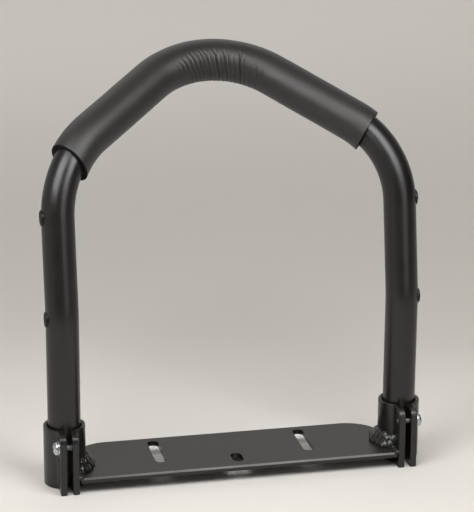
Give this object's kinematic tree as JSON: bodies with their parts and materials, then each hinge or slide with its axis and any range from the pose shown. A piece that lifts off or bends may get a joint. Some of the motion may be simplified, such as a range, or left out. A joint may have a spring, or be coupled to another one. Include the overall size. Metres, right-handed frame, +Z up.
{
  "type": "bed assist rail",
  "caption": "Bent steel tube hoop with a foam grip on its sloped roof, clamped by its legs in split collars welded to a slotted base plate.",
  "frame": {"origin": "on the floor, under the middle of the whole rail's box", "axes": "+Z up, along the legs; +X towards the right leg, seen from the clamp ears; +Y to the back, the way the hoop leans"},
  "size_m": [0.3756, 0.1799, 0.4034],
  "materials": {
    "black_coat": "semi-gloss black powder coat on welded steel",
    "foam": "matte closed-cell foam sleeve",
    "plug": "moulded black polyethylene",
    "zinc": "bright zinc plating"
  },
  "bodies": {
    "base": {"base_plate": "black_coat", "left_collar": "black_coat", "right_collar": "black_coat", "left_outer_ear": "black_coat", "left_inner_ear": "black_coat", "right_outer_ear": "black_coat", "right_inner_ear": "black_coat", "left_ear_welds": "black_coat", "right_ear_welds": "black_coat", "left_top_weld": "black_coat", "right_top_weld": "black_coat", "left_under_weld": "black_coat", "right_under_weld": "black_coat"},
    "rail": {"rail_tube": "black_coat", "foam_grip": "foam", "left_upper_plug": "plug", "left_lower_plug": "plug", "right_upper_plug": "plug", "right_lower_plug": "plug"},
    "left_bolt": {"left_bolt": "zinc", "left_washer": "zinc"},
    "right_bolt": {"right_bolt": "zinc", "right_washer": "zinc"}
  },
  "joints": [
    {"name": "rail_height", "type": "slide", "parent": "base", "child": "rail", "axis": [0, 0, 1], "range_m": [0, 0.035]},
    {"name": "left_bolt_turn", "type": "hinge", "parent": "base", "child": "left_bolt", "pos_m": [-0.1675, -0.08204, 0.0465], "axis": [-1, 0, 0], "range_deg": [0, 360]},
    {"name": "right_bolt_turn", "type": "hinge", "parent": "base", "child": "right_bolt", "pos_m": [0.1675, -0.08204, 0.0465], "axis": [1, 0, 0], "range_deg": [0, 360]}
  ]
}
